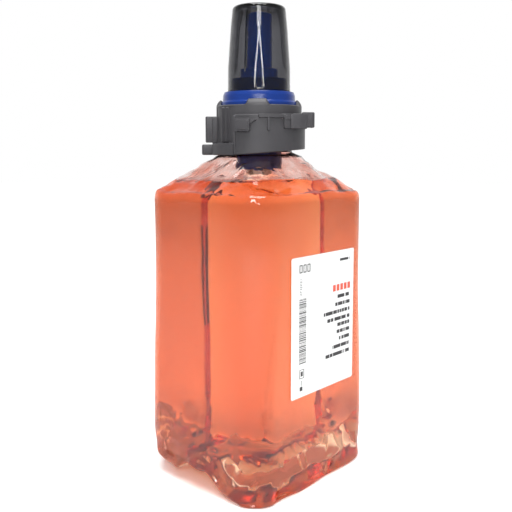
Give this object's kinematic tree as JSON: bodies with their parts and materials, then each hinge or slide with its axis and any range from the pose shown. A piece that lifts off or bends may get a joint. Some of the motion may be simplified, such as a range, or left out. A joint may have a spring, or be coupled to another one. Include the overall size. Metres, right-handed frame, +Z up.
{
  "type": "hand soap refill pack",
  "caption": "Clear bottle of orange hand soap with a foaming pump, a keyed locking collar and a smoke-grey cap, for a wall dispenser.",
  "frame": {"origin": "on the floor under the middle of the bottle's body, on the pump's axis", "axes": "+Z up along the pump's axis towards the nozzle, X across the broad labelled face, label on the -Y face"},
  "size_m": [0.102, 0.0875, 0.262],
  "materials": {
    "clear_pet": "clear blown PET, glossy, folded at the shoulder",
    "orange_soap": "clear orange liquid",
    "label_paper": "white coated label film, satin",
    "charcoal_polypropylene": "charcoal moulded polypropylene, fine satin texture",
    "blue_polypropylene": "royal blue moulded polypropylene, glossy",
    "natural_polypropylene": "natural moulded polypropylene",
    "soft_elastomer": "pale moulded elastomer",
    "screen_mesh": "fine woven polyester screen",
    "smoke_styrene": "smoke-grey translucent moulded styrene"
  },
  "bodies": {
    "root": {"bottle": "clear_pet", "liquid_soap": "orange_soap", "front_label": "label_paper", "keyed_collar": "charcoal_polypropylene", "neck_gasket": "soft_elastomer", "pump_housing": "blue_polypropylene", "intake_cage": "natural_polypropylene", "inlet_valve": "soft_elastomer"},
    "nozzle": {"nozzle": "blue_polypropylene", "upper_screen": "screen_mesh", "screen_holder": "natural_polypropylene", "lower_screen": "screen_mesh", "mixing_ring": "natural_polypropylene", "outlet_valve": "soft_elastomer", "piston_stem": "natural_polypropylene", "liquid_piston": "soft_elastomer", "air_piston": "natural_polypropylene", "air_valve": "soft_elastomer"},
    "overcap": {"overcap": "smoke_styrene"}
  },
  "joints": [
    {"name": "nozzle_stroke", "type": "slide", "parent": "root", "child": "nozzle", "axis": [0, 0, -1], "range_m": [0, 0.008]},
    {"name": "cap_lift", "type": "slide", "parent": "root", "child": "overcap", "axis": [0, 0, 1], "range_m": [0, 0.06]}
  ]
}
